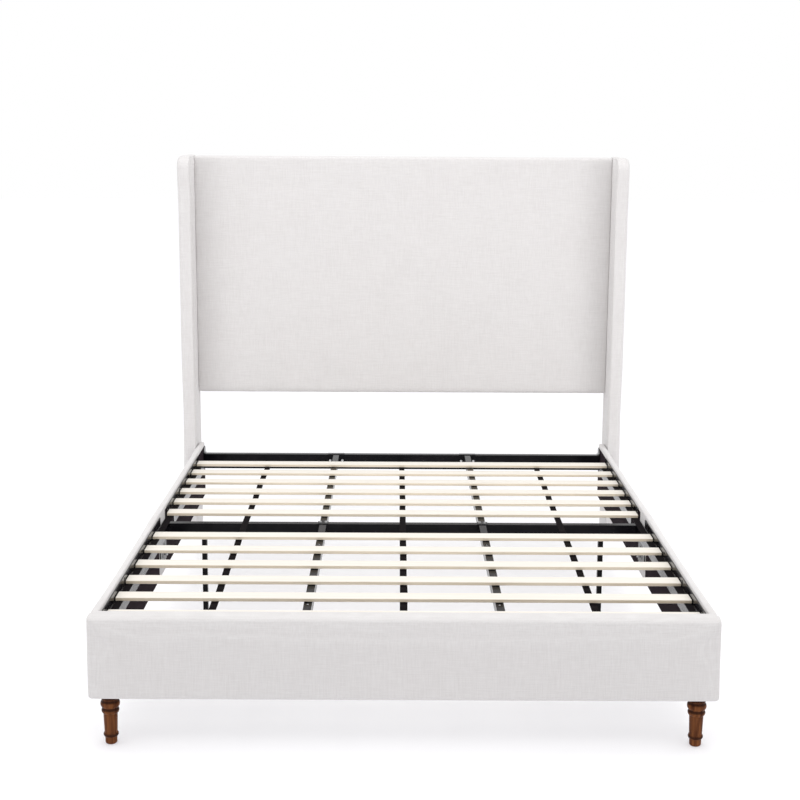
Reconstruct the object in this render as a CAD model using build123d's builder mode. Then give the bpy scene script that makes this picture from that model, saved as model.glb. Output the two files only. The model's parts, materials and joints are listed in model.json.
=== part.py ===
from build123d import *
import os

# An upholstered platform bed with a winged headboard. All sizes are in millimetres.
# X runs across the bed, Y from the foot (-Y) to the head (+Y), Z up from the floor.
# The origin is on the floor, under the middle of the bed.

# ---- overall sizes ----
BED_LENGTH = 2163.0
FRAME_WIDTH = 1610.0
RAIL_TOP = 362.0
RAIL_BOTTOM = 145.0
FOOT_Y = -BED_LENGTH / 2
HEAD_Y = BED_LENGTH / 2
SIDES = {"left": -1, "right": 1}

# ---- side rails: a board in a fabric cover, with a black cloth on the inner face ----
RAIL_OUTER = FRAME_WIDTH / 2
RAIL_THICKNESS = 23.0
RAIL_INNER = RAIL_OUTER - RAIL_THICKNESS
RAIL_COVER_OUTER = 5.0
RAIL_COVER_INNER = 3.0
RAIL_COVER_TOP = 12.0
RAIL_COVER_BOTTOM = 4.0
RAIL_COVER_END = 2.0
RAIL_EDGE_RADIUS = 6.0
CLOTH = 1.0
LINING_TOP = 345.0
FOOTBOARD_THICKNESS = 50.0
FOOTBOARD_BACK_Y = FOOT_Y + FOOTBOARD_THICKNESS
RAIL_SEAM_Y = FOOT_Y + 1000.0
RAIL_END_Y = FOOT_Y + 2088.0
RAIL_HALVES = {
    "foot": (FOOTBOARD_BACK_Y, RAIL_SEAM_Y),
    "head": (RAIL_SEAM_Y, RAIL_END_Y),
}
LINING_SPANS = {
    "foot": (FOOTBOARD_BACK_Y + RAIL_COVER_END, RAIL_SEAM_Y - 25.0),
    "head": (RAIL_SEAM_Y + 105.0, RAIL_END_Y - RAIL_COVER_END),
}

# ---- footboard ----
FOOTBOARD_HALF_WIDTH = 808.5
FOOTBOARD_FOAM = 10.0
FOOTBOARD_SIDE_FOAM = 11.5
FOOTBOARD_COVER_TOP = 8.0
FOOTBOARD_COVER_BOTTOM = 5.0
FOOTBOARD_CORNER_RADIUS = 18.0
FOOTBOARD_EDGE_RADIUS = 12.0

# ---- headboard panel and its two wings ----
WING_THICKNESS = 47.5
WING_DEPTH = 171.0
WING_TOP = 1478.0
WING_BOTTOM = 3.0
WING_FOAM = 6.0
WING_TOP_FOAM = 10.0
WING_FRONT_FOAM = 12.0
WING_BACK_FOAM = 6.0
WING_NOSE_RADIUS = 50.0
WING_EDGE_RADIUS = 12.0
WING_FRONT_Y = HEAD_Y - WING_DEPTH
GLIDE_RADIUS = 15.0
GLIDE_INSET = 38.0
PANEL_TOP = 1475.0
PANEL_BOTTOM = 555.0
PANEL_WRAP = 8.0
PANEL_FRONT_Y = FOOT_Y + 2110.0
PANEL_FOAM = 23.0
PANEL_BOARD = 4.0
PANEL_FRAME = 20.0
PANEL_EDGE_RADIUS = 12.0
PANEL_BACK_Y = HEAD_Y - 3.0
PANEL_SIDE_GAP = 0.3
TIMBER = 60.0
MID_STILE_X = 260.0
MID_STILE_WIDTH = 50.0
TIMBER_GAP = 0.4

# ---- steel deck support ----
DECK_Z = 321.0
ANGLE_WIDTH = 24.0
ANGLE_HEIGHT = 30.0
ANGLE_LIP = 34.0
PLATE = 3.0
ANGLE_SPANS = {
    "foot": (FOOTBOARD_BACK_Y + 10.0, RAIL_SEAM_Y - 2.0),
    "head": (RAIL_SEAM_Y + 137.0, FOOT_Y + 1885.0),
}
ANGLE_FACE = RAIL_INNER - PLATE
BAR_DEPTH = 25.0
MID_BAR_HEIGHT = 50.0
REAR_BAR_HEIGHT = 58.0
BAR_WALL = 1.6
MID_BAR_Y = FOOT_Y + 1039.5
MID_BAR_HALF_LENGTH = 775.0
REAR_BAR_Y = FOOT_Y + 2054.5
REAR_BAR_HALF_LENGTH = 778.0
BEAM_X = 258.0
BEAM_WIDTH = 22.0
BEAM_HEIGHT = 30.0
BEAM_HOLE_RADIUS = 4.0
BEAM_HOLE_INSETS = (180.0, 225.0)
BRACKET_STEEL = 2.0
BRACKET_HALF_WIDTH = 32.0
SADDLE_HALF_WIDTH = 17.0
SHOE_BOTTOM = 250.0
SHOE_SEAT = 28.0
SADDLE_BOTTOM = 285.0
HOOK_BOTTOM = 276.0
HOOK_TAB = 20.0
JOINT_PLATE_BOTTOM = 185.0
JOINT_PLATE_TOP = 316.0
JOINT_PLATE_Y = (RAIL_SEAM_Y - 15.0, RAIL_SEAM_Y + 100.0)
CRADLE_REACH = 32.0
CRADLE_TOP = 310.0
CRADLE_GAP = 0.5
JOINT_SLOT = 40.0
JOINT_SLOT_WIDTH = 9.0
JOINT_SLOT_Z = 225.0
JOINT_SLOT_YS = (RAIL_SEAM_Y + 25.0, RAIL_SEAM_Y + 55.0)
REAR_BRACKET_BOTTOM = 258.0
REAR_BRACKET_TOP = 345.0
REAR_BRACKET_FLANGE_TOP = 316.0
REAR_BRACKET_REACH = 44.0
REAR_BRACKET_ROUND = 15.0

# ---- legs ----
LEG_X = 761.0
LEG_Y = FOOT_Y + 59.0
LEG_TOP = RAIL_BOTTOM - PLATE
LEG_PLATE_SIZE = 62.0
LEG_PLATE_SCREW_OFFSET = 24.0
LEG_FOOT_RADIUS = 15.5
LEG_TOE_ROUND = 5.5
LEG_LOW_RING = (19.0, 32.0, 19.5)
LEG_SHAFT = (32.0, 16.8, 83.5, 18.4)
LEG_MIDDLE_RING = (83.5, 98.0, 22.8)
LEG_TOP_RING = (100.0, 119.0, 25.2)
LEG_GROOVE_RADIUS = 20.8
LEG_COLLAR_RADIUS = 22.0
HANGER_HOLE_CLEARANCE = 0.05
HANGER_RADIUS = 4.0
BLOCK_HOLE_CLEARANCE = 0.5
HANGER_LENGTH = 73.0
HANGER_IN_LEG = 40.0
BLOCK_SIZE = 55.0
BLOCK_TOP = 284.0
SUPPORT_XS = {"left": -644.0, "centre": 0.0, "right": 644.0}
SUPPORT_TUBE = 16.0
SUPPORT_WALL = 1.5
SUPPORT_BOTTOM = 24.0
PLUG_LENGTH = 22.0
STUD_RADIUS = 4.0
STUD_TOP = 52.0
STUD_CLEARANCE = 0.05
FOOT_PAD_RADIUS = 18.0
FOOT_PAD_HEIGHT = 6.0
FOOT_PAD_CROWN = 10.0

# ---- slat roll ----
SEAT_GAP = 0.3
WEBBING = 1.0
WEBBING_WIDTH = 20.0
WEBBING_XS = (-766.5, -510.0, 0.0, 510.0, 766.5)
SLAT_LENGTH = 1553.0
SLAT_WIDTH = 53.0
SLAT_THICKNESS = 10.0
SLAT_EDGE_RADIUS = 2.0
SLATS_PER_GROUP = 6
HEAD_SLAT_Y = FOOT_Y + 1846.5
HEAD_SLAT_PITCH = 141.5
FOOT_SLAT_Y = FOOT_Y + 863.0
FOOT_SLAT_PITCH = 148.0
WEBBING_Z = DECK_Z + SEAT_GAP
SLAT_Z = WEBBING_Z + WEBBING

# ---- fasteners ----
BOLT_RADIUS = 3.0
BOLT_HEAD_RADIUS = 5.5
BOLT_HEAD = 5.0
STEEL_BOLT_HEAD_RADIUS = 4.5
STEEL_BOLT_HEAD = 4.0
SCREW_RADIUS = 2.0
SCREW_HEAD_RADIUS = 4.0
SCREW_HEAD = 1.4
SCREW_LENGTH = 14.0
HOLE_CLEARANCE = 0.05
BLOCK_BOLT_BITE = 14.0
BLOCK_BOLTS_TO_FOOTBOARD = ((745.0, 190.0), (745.0, 246.0))
BLOCK_BOLTS_TO_RAIL = ((FOOTBOARD_BACK_Y + 35.0, 206.0), (FOOTBOARD_BACK_Y + 35.0, 262.0))
REAR_BOLTS = ((RAIL_END_Y - 9.0, 280.0), (RAIL_END_Y - 9.0, 318.0))
JOINT_BOLTS = (
    (RAIL_SEAM_Y - 8.0, 200.0),
    (RAIL_SEAM_Y - 8.0, 300.0),
    (RAIL_SEAM_Y + 90.0, 200.0),
    (RAIL_SEAM_Y + 90.0, 300.0),
)
STILE_BOLT_HEIGHTS = (650.0, 1000.0, 1400.0)
BOLT_INTO_BOARD = 30.0
SHOE_BOLT_OFFSET = 23.0
SHOE_BOLT_Z = 270.0
SADDLE_BOLT_OFFSET = 9.0
HOOK_BOLT_OFFSET = 24.0
HOOK_BOLT_Z = 298.0
STEEL_BOLT_SHANK = 20.0
REAR_FLANGE_BOLTS = ((757.0, 285.0), (757.0, 308.0))
ANGLE_SCREWS_PER_LENGTH = 4
ANGLE_SCREW_INSET = 60.0
ANGLE_SCREW_Z = 337.0


def save(builder, label):
    """Label a finished piece and write it to its own file."""
    builder.part.label = label
    export_step(builder.part, f"parts/{label}.step")


def block(x_span, y_span, z_span, mode=Mode.ADD):
    """A rectangular block in the part being built, given by its extent along each axis."""
    low_x, high_x = sorted(x_span)
    low_y, high_y = sorted(y_span)
    low_z, high_z = sorted(z_span)
    with BuildSketch(Plane.XY.offset(low_z)) as base:
        with Locations(((low_x + high_x) / 2, (low_y + high_y) / 2)):
            Rectangle(high_x - low_x, high_y - low_y)
    extrude(base.sketch, amount=high_z - low_z, mode=mode)


def rods(plane, points, radius, length, mode=Mode.ADD):
    """Round rods that start on a plane and run along its normal."""
    with BuildSketch(plane) as ends:
        with Locations(*points):
            Circle(radius)
    extrude(ends.sketch, amount=length, mode=mode)


def angle_screw_points(half):
    """Where the screws go through one rail angle, as Y and Z."""
    low_y, high_y = ANGLE_SPANS[half]
    first = low_y + ANGLE_SCREW_INSET
    step = (high_y - low_y - 2 * ANGLE_SCREW_INSET) / (ANGLE_SCREWS_PER_LENGTH - 1)
    return [(first + k * step, ANGLE_SCREW_Z) for k in range(ANGLE_SCREWS_PER_LENGTH)]


def leg_plate_screw_points():
    """Where the screws go up through the leg plates, as X and Y."""
    offsets = (-LEG_PLATE_SCREW_OFFSET, LEG_PLATE_SCREW_OFFSET)
    return [
        (side * LEG_X + x, LEG_Y + y)
        for side in SIDES.values()
        for x in offsets
        for y in offsets
    ]


def beam_bolt_points(offset, height):
    """Pairs of points either side of each beam, as X and a second coordinate."""
    return [
        (side * BEAM_X + sign * offset, height)
        for side in SIDES.values()
        for sign in (-1, 1)
    ]


def holes_along_x(side, points, radius):
    """Clearance holes through a plate that lies against a side rail's inner face."""
    start = min(side * ANGLE_FACE, side * RAIL_INNER)
    rods(Plane.YZ.offset(start), points, radius + HOLE_CLEARANCE, PLATE, Mode.SUBTRACT)


def holes_along_y(points, start_y, length):
    """Clearance holes for steel bolts, from start_y toward the head."""
    plane = Plane(origin=(0, start_y, 0), x_dir=(-1, 0, 0), z_dir=(0, 1, 0))
    mirrored = [(-x, z) for x, z in points]
    rods(plane, mirrored, BOLT_RADIUS + HOLE_CLEARANCE, length, Mode.SUBTRACT)


def bolts_along_x(side, head_x, points, shank_length):
    """Wood bolts that point outwards on one side, with their heads' seats at head_x."""
    for start, length, radius in (
        (head_x - BOLT_HEAD, BOLT_HEAD, BOLT_HEAD_RADIUS),
        (head_x, shank_length, BOLT_RADIUS),
    ):
        low = start if side > 0 else -start - length
        rods(Plane.YZ.offset(low), points, radius, length)


# ---------------------------------------------------------------- footboard


def make_footboard_cover():
    """Foam and fabric round the front, top, bottom and ends, open at the back."""
    with BuildPart() as cover:
        with BuildSketch(Plane.XY.offset(RAIL_BOTTOM)):
            with Locations((0, FOOT_Y + FOOTBOARD_THICKNESS / 2)):
                Rectangle(2 * FOOTBOARD_HALF_WIDTH, FOOTBOARD_THICKNESS)
            fillet(vertices().group_by(Axis.Y)[0], FOOTBOARD_CORNER_RADIUS)
        extrude(amount=RAIL_TOP - RAIL_BOTTOM)
        fillet(cover.edges().group_by(Axis.Z)[-1], FOOTBOARD_EDGE_RADIUS)
        block(
            (-FOOTBOARD_HALF_WIDTH + FOOTBOARD_SIDE_FOAM, FOOTBOARD_HALF_WIDTH - FOOTBOARD_SIDE_FOAM),
            (FOOT_Y + FOOTBOARD_FOAM, FOOTBOARD_BACK_Y),
            (RAIL_BOTTOM + FOOTBOARD_COVER_BOTTOM, RAIL_TOP - FOOTBOARD_EDGE_RADIUS),
            Mode.SUBTRACT,
        )
    save(cover, "footboard_cover")


def make_footboard_core():
    """The timber board inside the footboard."""
    with BuildPart() as core:
        block(
            (-FOOTBOARD_HALF_WIDTH + FOOTBOARD_SIDE_FOAM, FOOTBOARD_HALF_WIDTH - FOOTBOARD_SIDE_FOAM),
            (FOOT_Y + FOOTBOARD_FOAM, FOOTBOARD_BACK_Y - CLOTH),
            (RAIL_BOTTOM + FOOTBOARD_COVER_BOTTOM, RAIL_TOP - FOOTBOARD_EDGE_RADIUS),
        )
    save(core, "footboard_core")


def make_footboard_lining():
    """Black cloth over the back of the footboard."""
    with BuildPart() as lining:
        block(
            (-FOOTBOARD_HALF_WIDTH + FOOTBOARD_SIDE_FOAM, FOOTBOARD_HALF_WIDTH - FOOTBOARD_SIDE_FOAM),
            (FOOTBOARD_BACK_Y - CLOTH, FOOTBOARD_BACK_Y),
            (RAIL_BOTTOM + FOOTBOARD_COVER_BOTTOM, LINING_TOP),
        )
    save(lining, "footboard_lining")


# ---------------------------------------------------------------- side rails


def make_side_rail_cover(name, side, half):
    """Foam and fabric round one half of a side rail, with a pocket for its board."""
    low_y, high_y = RAIL_HALVES[half]
    lining_low, lining_high = LINING_SPANS[half]
    with BuildPart() as cover:
        block(
            (side * RAIL_INNER, side * RAIL_OUTER),
            (low_y, high_y),
            (RAIL_BOTTOM, RAIL_TOP),
        )
        long_edges = cover.edges().filter_by(Axis.Y)
        fillet(long_edges.group_by(Axis.Z)[-1], RAIL_EDGE_RADIUS)
        block(
            (side * (RAIL_INNER + RAIL_COVER_INNER), side * (RAIL_OUTER - RAIL_COVER_OUTER)),
            (low_y + RAIL_COVER_END, high_y - RAIL_COVER_END),
            (RAIL_BOTTOM + RAIL_COVER_BOTTOM, RAIL_TOP - RAIL_COVER_TOP),
            Mode.SUBTRACT,
        )
        block(
            (side * RAIL_INNER, side * (RAIL_INNER + CLOTH)),
            (lining_low, lining_high),
            (RAIL_BOTTOM + RAIL_COVER_BOTTOM, LINING_TOP),
            Mode.SUBTRACT,
        )
    save(cover, f"side_rail_cover_{name}_{half}")


def make_side_rail_core(name, side, half):
    """The timber board in one half of a side rail."""
    low_y, high_y = RAIL_HALVES[half]
    with BuildPart() as core:
        block(
            (side * (RAIL_INNER + RAIL_COVER_INNER), side * (RAIL_OUTER - RAIL_COVER_OUTER)),
            (low_y + RAIL_COVER_END, high_y - RAIL_COVER_END),
            (RAIL_BOTTOM + RAIL_COVER_BOTTOM, RAIL_TOP - RAIL_COVER_TOP),
        )
    save(core, f"side_rail_core_{name}_{half}")


def make_side_rail_lining(name, side):
    """Black cloth on the inner face of a side rail, one length on each half."""
    with BuildPart() as lining:
        for span in LINING_SPANS.values():
            block(
                (side * RAIL_INNER, side * (RAIL_INNER + CLOTH)),
                span,
                (RAIL_BOTTOM + RAIL_COVER_BOTTOM, LINING_TOP),
            )
    save(lining, f"side_rail_lining_{name}")


def make_rail_angle(name, side, half):
    """The steel angle under the slat ends along one half of a side rail, with a turned-down lip."""
    with BuildPart() as angle:
        block(
            (side * ANGLE_FACE, side * RAIL_INNER),
            ANGLE_SPANS[half],
            (DECK_Z - PLATE, DECK_Z - PLATE + ANGLE_HEIGHT),
        )
        block(
            (side * (RAIL_INNER - ANGLE_WIDTH), side * ANGLE_FACE),
            ANGLE_SPANS[half],
            (DECK_Z - PLATE, DECK_Z),
        )
        block(
            (side * (RAIL_INNER - ANGLE_WIDTH), side * (RAIL_INNER - ANGLE_WIDTH + PLATE)),
            ANGLE_SPANS[half],
            (DECK_Z - ANGLE_LIP, DECK_Z),
        )
        holes_along_x(side, angle_screw_points(half), SCREW_RADIUS)
    save(angle, f"rail_angle_{name}_{half}")


# ---------------------------------------------------------------- headboard panel


def make_headboard_pad():
    """Foam and fabric over the front, top and bottom of the headboard panel."""
    half_width = RAIL_OUTER - PANEL_SIDE_GAP
    with BuildPart() as pad:
        with BuildSketch(Plane.YZ.offset(-half_width)):
            with Locations(
                ((PANEL_FRONT_Y + PANEL_BACK_Y) / 2, (PANEL_TOP + PANEL_BOTTOM) / 2)
            ):
                Rectangle(PANEL_BACK_Y - PANEL_FRONT_Y, PANEL_TOP - PANEL_BOTTOM)
            fillet(vertices().group_by(Axis.X)[0], PANEL_EDGE_RADIUS)
        extrude(amount=2 * half_width)
        block(
            (-half_width, half_width),
            (PANEL_FRONT_Y + PANEL_FOAM, PANEL_BACK_Y),
            (PANEL_BOTTOM + PANEL_WRAP, PANEL_TOP - PANEL_WRAP),
            Mode.SUBTRACT,
        )
    save(pad, "headboard_pad")


def make_headboard_frame():
    """The front board, two end stiles, two rails and two middle stiles of the panel."""
    half_width = RAIL_OUTER - PANEL_SIDE_GAP
    board_y = PANEL_FRONT_Y + PANEL_FOAM
    timber_y = (board_y + PANEL_BOARD + TIMBER_GAP, board_y + PANEL_BOARD + PANEL_FRAME)
    low_z = PANEL_BOTTOM + PANEL_WRAP
    high_z = PANEL_TOP - PANEL_WRAP
    rail_end = half_width - TIMBER - TIMBER_GAP
    stile_z = (low_z + TIMBER + TIMBER_GAP, high_z - TIMBER - TIMBER_GAP)
    with BuildPart() as frame:
        block((-half_width, half_width), (board_y, board_y + PANEL_BOARD), (low_z, high_z))
        for side in SIDES.values():
            block(
                (side * (half_width - TIMBER), side * half_width),
                timber_y,
                (low_z, high_z),
            )
            middle = side * MID_STILE_X
            block(
                (middle - MID_STILE_WIDTH / 2, middle + MID_STILE_WIDTH / 2),
                timber_y,
                stile_z,
            )
        block((-rail_end, rail_end), timber_y, (low_z, low_z + TIMBER))
        block((-rail_end, rail_end), timber_y, (high_z - TIMBER, high_z))
    save(frame, "headboard_frame")


def make_headboard_back_cloth():
    """Thin black cloth stapled over the back of the panel."""
    half_width = RAIL_OUTER - PANEL_SIDE_GAP
    cloth_y = PANEL_FRONT_Y + PANEL_FOAM + PANEL_BOARD + PANEL_FRAME
    with BuildPart() as cloth:
        block(
            (-half_width, half_width),
            (cloth_y, cloth_y + CLOTH),
            (PANEL_BOTTOM + PANEL_WRAP, PANEL_TOP - PANEL_WRAP),
        )
    save(cloth, "headboard_back_cloth")


# ---------------------------------------------------------------- wings


def wing_board(side, mode=Mode.ADD):
    """The board of a wing, added to the part being built or cut out of it."""
    inner = side * (RAIL_OUTER + WING_FOAM)
    outer = side * (RAIL_OUTER + WING_THICKNESS - WING_FOAM)
    front_y = WING_FRONT_Y + WING_FRONT_FOAM
    back_y = HEAD_Y - WING_BACK_FOAM
    top = WING_TOP - WING_TOP_FOAM
    with BuildSketch(Plane.YZ.offset(min(inner, outer))) as outline:
        with Locations(((front_y + back_y) / 2, (WING_BOTTOM + top) / 2)):
            Rectangle(back_y - front_y, top - WING_BOTTOM)
        front = outline.vertices().group_by(Axis.X)[0]
        fillet(front.sort_by(Axis.Y)[-1:], WING_NOSE_RADIUS - WING_TOP_FOAM)
    extrude(outline.sketch, amount=abs(outer - inner), mode=mode)


def make_wing_cover(name, side):
    """Foam and fabric round a wing, open underneath."""
    low_x = min(side * RAIL_OUTER, side * (RAIL_OUTER + WING_THICKNESS))
    with BuildPart() as cover:
        with BuildSketch(Plane.YZ.offset(low_x)):
            with Locations(
                ((WING_FRONT_Y + HEAD_Y) / 2, (WING_TOP + WING_BOTTOM) / 2)
            ):
                Rectangle(WING_DEPTH, WING_TOP - WING_BOTTOM)
            front = vertices().group_by(Axis.X)[0]
            fillet(front.sort_by(Axis.Y)[-1:], WING_NOSE_RADIUS)
        extrude(amount=WING_THICKNESS)
        outline = cover.edges().filter_by(Axis.X, reverse=True)
        padded = outline - outline.group_by(Axis.Z)[0] - outline.group_by(Axis.Y)[-1]
        fillet(padded, WING_EDGE_RADIUS)
        wing_board(side, Mode.SUBTRACT)
    save(cover, f"wing_cover_{name}")


def make_wing_core(name, side):
    """The timber board inside a wing."""
    with BuildPart() as core:
        wing_board(side)
    save(core, f"wing_core_{name}")


def make_wing_glides():
    """Four nylon glides under the wings."""
    middle = RAIL_OUTER + WING_THICKNESS / 2
    spots = [
        (side * middle, y)
        for side in SIDES.values()
        for y in (WING_FRONT_Y + GLIDE_INSET, HEAD_Y - GLIDE_INSET)
    ]
    with BuildPart() as glides:
        rods(Plane.XY, spots, GLIDE_RADIUS, WING_BOTTOM)
    save(glides, "wing_glides")


# ---------------------------------------------------------------- steel bars and brackets


def crossbar_tube(middle_y, half_length, height):
    """A rectangular steel tube that runs across the bed under the slats."""
    with BuildSketch(Plane.YZ.offset(-half_length)) as section:
        with Locations((middle_y, DECK_Z - height / 2)):
            Rectangle(BAR_DEPTH, height)
            Rectangle(BAR_DEPTH - 2 * BAR_WALL, height - 2 * BAR_WALL, mode=Mode.SUBTRACT)
    extrude(section.sketch, amount=2 * half_length)


def make_middle_crossbar():
    """The bar at mid length, drilled on top for the saddles' bolts."""
    with BuildPart() as bar:
        crossbar_tube(MID_BAR_Y, MID_BAR_HALF_LENGTH, MID_BAR_HEIGHT)
        points = beam_bolt_points(SADDLE_BOLT_OFFSET, MID_BAR_Y)
        top_wall = Plane.XY.offset(DECK_Z - BAR_WALL)
        rods(top_wall, points, BOLT_RADIUS + HOLE_CLEARANCE, BAR_WALL, Mode.SUBTRACT)
    save(bar, "middle_crossbar")


def make_rear_crossbar():
    """The bar at the head end, drilled for the hooks and for its own end brackets."""
    with BuildPart() as bar:
        crossbar_tube(REAR_BAR_Y, REAR_BAR_HALF_LENGTH, REAR_BAR_HEIGHT)
        hook_points = beam_bolt_points(HOOK_BOLT_OFFSET, HOOK_BOLT_Z)
        holes_along_y(hook_points, REAR_BAR_Y - BAR_DEPTH / 2, BAR_WALL)
        ends = [(side * x, z) for side in SIDES.values() for x, z in REAR_FLANGE_BOLTS]
        holes_along_y(ends, REAR_BAR_Y + BAR_DEPTH / 2 - BAR_WALL, BAR_WALL)
    save(bar, "rear_crossbar")


def make_beam(name, side):
    """Two inverted steel channels in line, before and behind the middle crossbar."""
    middle = side * BEAM_X
    front_end = FOOTBOARD_BACK_Y + BRACKET_STEEL
    bar_front = MID_BAR_Y - BAR_DEPTH / 2 - BRACKET_STEEL
    bar_back = MID_BAR_Y + BAR_DEPTH / 2 + BRACKET_STEEL
    back_end = REAR_BAR_Y - BAR_DEPTH / 2 - BRACKET_STEEL
    near, far = BEAM_HOLE_INSETS
    holes = [
        (middle, front_end + near),
        (middle, bar_front - far),
        (middle, bar_back + far),
        (middle, back_end - near),
    ]
    with BuildPart() as beam:
        for span in ((front_end, bar_front), (bar_back, back_end)):
            block(
                (middle - BEAM_WIDTH / 2, middle + BEAM_WIDTH / 2),
                span,
                (DECK_Z - BEAM_HEIGHT, DECK_Z),
            )
            block(
                (
                    middle - BEAM_WIDTH / 2 + BAR_WALL,
                    middle + BEAM_WIDTH / 2 - BAR_WALL,
                ),
                span,
                (DECK_Z - BEAM_HEIGHT, DECK_Z - BAR_WALL),
                Mode.SUBTRACT,
            )
        top_wall = Plane.XY.offset(DECK_Z - BAR_WALL)
        rods(top_wall, holes, BEAM_HOLE_RADIUS, BAR_WALL, Mode.SUBTRACT)
    save(beam, f"beam_{name}")


def make_beam_brackets():
    """Shoes on the footboard, saddles over the middle bar, hooks over the rear bar."""
    bar_front = MID_BAR_Y - BAR_DEPTH / 2
    bar_back = MID_BAR_Y + BAR_DEPTH / 2
    rear_front = REAR_BAR_Y - BAR_DEPTH / 2
    beam_bottom = DECK_Z - BEAM_HEIGHT
    with BuildPart() as brackets:
        for side in SIDES.values():
            middle = side * BEAM_X
            wide = (middle - BRACKET_HALF_WIDTH, middle + BRACKET_HALF_WIDTH)
            narrow = (middle - SADDLE_HALF_WIDTH, middle + SADDLE_HALF_WIDTH)
            shoe_y = (FOOTBOARD_BACK_Y, FOOTBOARD_BACK_Y + BRACKET_STEEL)
            block(wide, shoe_y, (SHOE_BOTTOM, DECK_Z))
            seat_y = (FOOTBOARD_BACK_Y, FOOTBOARD_BACK_Y + SHOE_SEAT)
            block(narrow, seat_y, (beam_bottom - BRACKET_STEEL, beam_bottom))
            saddle_y = (bar_front - BRACKET_STEEL, bar_back + BRACKET_STEEL)
            block(narrow, saddle_y, (DECK_Z, DECK_Z + BRACKET_STEEL))
            block(narrow, (bar_front - BRACKET_STEEL, bar_front), (SADDLE_BOTTOM, DECK_Z))
            block(narrow, (bar_back, bar_back + BRACKET_STEEL), (SADDLE_BOTTOM, DECK_Z))
            block(wide, (rear_front - BRACKET_STEEL, rear_front), (HOOK_BOTTOM, DECK_Z))
            tab_y = (rear_front - BRACKET_STEEL, rear_front + HOOK_TAB)
            block(wide, tab_y, (DECK_Z, DECK_Z + BRACKET_STEEL))
        shoe_points = beam_bolt_points(SHOE_BOLT_OFFSET, SHOE_BOLT_Z)
        holes_along_y(shoe_points, FOOTBOARD_BACK_Y, BRACKET_STEEL)
        hook_points = beam_bolt_points(HOOK_BOLT_OFFSET, HOOK_BOLT_Z)
        holes_along_y(hook_points, rear_front - BRACKET_STEEL, BRACKET_STEEL)
        saddle_points = beam_bolt_points(SADDLE_BOLT_OFFSET, MID_BAR_Y)
        hole = BOLT_RADIUS + HOLE_CLEARANCE
        rods(Plane.XY.offset(DECK_Z), saddle_points, hole, BRACKET_STEEL, Mode.SUBTRACT)
    save(brackets, "beam_brackets")


def make_crossbar_bracket(name, side):
    """A plate that joins the two halves of a side rail and cradles the middle bar."""
    front = MID_BAR_Y - BAR_DEPTH / 2 - CRADLE_GAP
    back = MID_BAR_Y + BAR_DEPTH / 2 + CRADLE_GAP
    bottom = DECK_Z - MID_BAR_HEIGHT
    reach = (side * (ANGLE_FACE - CRADLE_REACH), side * ANGLE_FACE)
    plate = (side * ANGLE_FACE, side * RAIL_INNER)
    with BuildPart() as bracket:
        block(plate, JOINT_PLATE_Y, (JOINT_PLATE_BOTTOM, JOINT_PLATE_TOP))
        for y in JOINT_SLOT_YS:
            slot_y = (y - JOINT_SLOT_WIDTH / 2, y + JOINT_SLOT_WIDTH / 2)
            slot_z = (JOINT_SLOT_Z - JOINT_SLOT / 2, JOINT_SLOT_Z + JOINT_SLOT / 2)
            block(plate, slot_y, slot_z, Mode.SUBTRACT)
        block(reach, (front - PLATE, back + PLATE), (bottom - PLATE, bottom))
        block(reach, (front - PLATE, front), (bottom, CRADLE_TOP))
        block(reach, (back, back + PLATE), (bottom, CRADLE_TOP))
        holes_along_x(side, JOINT_BOLTS, BOLT_RADIUS)
    save(bracket, f"crossbar_bracket_{name}")


def make_rear_bracket(name, side):
    """An angle plate that ties a side rail's end, a wing and the rear bar together."""
    front = REAR_BAR_Y - BAR_DEPTH / 2
    back = REAR_BAR_Y + BAR_DEPTH / 2
    low_x = min(side * ANGLE_FACE, side * RAIL_INNER)
    with BuildPart() as bracket:
        with BuildSketch(Plane.YZ.offset(low_x)):
            with Locations(
                ((front + RAIL_END_Y) / 2, (REAR_BRACKET_BOTTOM + REAR_BRACKET_TOP) / 2)
            ):
                Rectangle(RAIL_END_Y - front, REAR_BRACKET_TOP - REAR_BRACKET_BOTTOM)
            fillet(vertices().group_by(Axis.Y)[-1], REAR_BRACKET_ROUND)
        extrude(amount=PLATE)
        block(
            (side * (ANGLE_FACE - REAR_BRACKET_REACH), side * ANGLE_FACE),
            (back, back + PLATE),
            (REAR_BRACKET_BOTTOM, REAR_BRACKET_FLANGE_TOP),
        )
        holes_along_x(side, REAR_BOLTS, BOLT_RADIUS)
        holes_along_y([(side * x, z) for x, z in REAR_FLANGE_BOLTS], back, PLATE)
    save(bracket, f"rear_bracket_{name}")


# ---------------------------------------------------------------- front legs


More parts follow.
